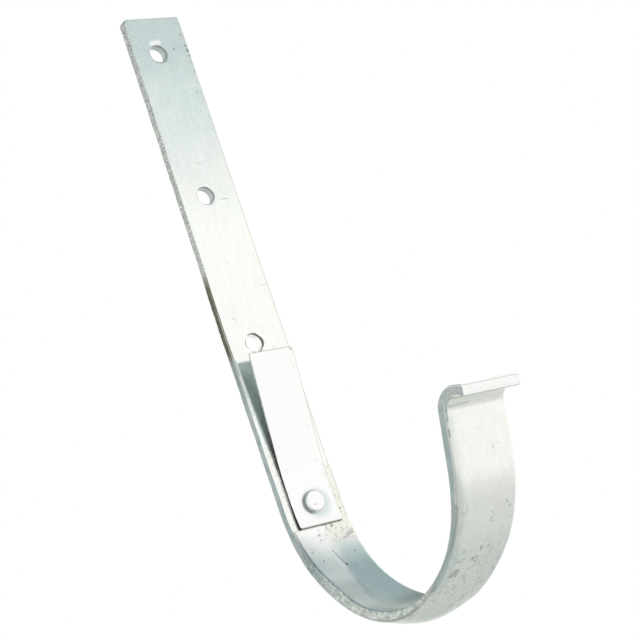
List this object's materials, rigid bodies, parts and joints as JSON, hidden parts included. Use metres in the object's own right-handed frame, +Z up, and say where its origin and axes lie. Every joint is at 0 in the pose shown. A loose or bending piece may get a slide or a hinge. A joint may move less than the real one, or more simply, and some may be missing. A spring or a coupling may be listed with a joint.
{
  "type": "gutter bracket",
  "caption": "Flat steel bar bent into a half-round hook that carries a rain gutter, with screw holes in its stem and a riveted strap to fold over the gutter's back edge.",
  "frame": {"origin": "centre of the middle screw hole, on the stem's back face", "axes": "+Z up along the stem, +X from the wall towards the gutter's front edge, Y along the gutter"},
  "size_m": [0.1241, 0.025, 0.2566],
  "materials": {
    "galvanised_bar": "hot-dip galvanised, dull and faintly mottled",
    "galvanised_sheet": "galvanised sheet, pale and smooth",
    "galvanised_rivet": "galvanised, satin"
  },
  "bodies": {
    "root": {"hook_bar": "galvanised_bar", "retaining_strap": "galvanised_sheet", "rivet": "galvanised_rivet"}
  },
  "joints": []
}
